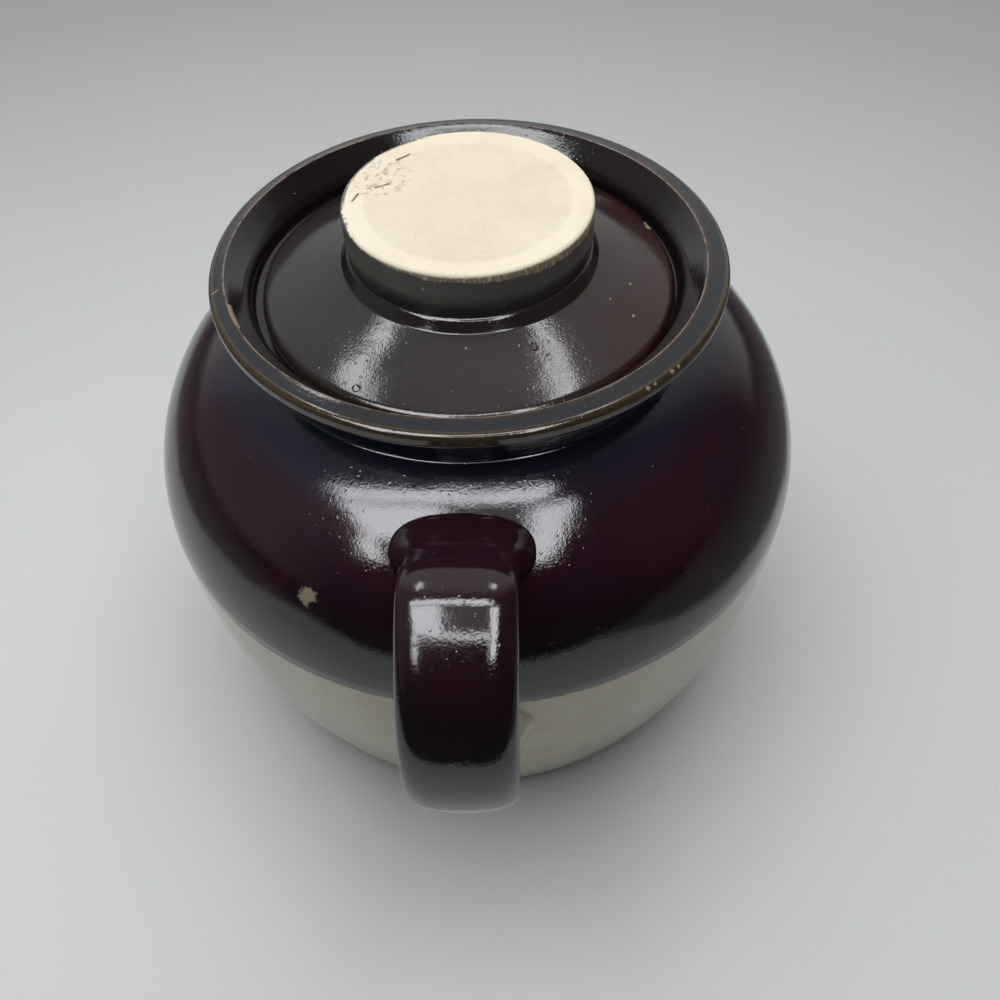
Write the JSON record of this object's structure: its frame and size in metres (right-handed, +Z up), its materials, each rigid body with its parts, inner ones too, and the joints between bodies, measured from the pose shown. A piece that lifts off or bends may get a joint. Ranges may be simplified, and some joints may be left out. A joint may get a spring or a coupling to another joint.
{
  "type": "bean pot",
  "caption": "Round-bellied stoneware bean pot with a flared collar, a strap handle and a loose lid with a wide flat knob that lifts off.",
  "frame": {"origin": "on the pot's axis, in the plane of its foot", "axes": "+Z up along the pot's axis, the handle at -Y, X across the handle"},
  "size_m": [0.181, 0.2089, 0.163],
  "materials": {
    "body_glaze": "glossy, very dark red-brown glaze above the belly, glossy cream glaze below it",
    "handle_glaze": "glossy, very dark red-brown glaze",
    "lid_glaze": "glossy dark brown glaze, thinner and warmer than on the body",
    "knob_clay": "bare fired clay on top, dark brown glaze down the side"
  },
  "bodies": {
    "pot": {"pot_body": "body_glaze", "strap_handle": "handle_glaze"},
    "lid": {"lid_plate": "lid_glaze", "lid_knob": "knob_clay"}
  },
  "joints": [
    {"name": "lid_lift", "type": "slide", "parent": "pot", "child": "lid", "axis": [0, 0, 1], "range_m": [0, 0.08]}
  ]
}
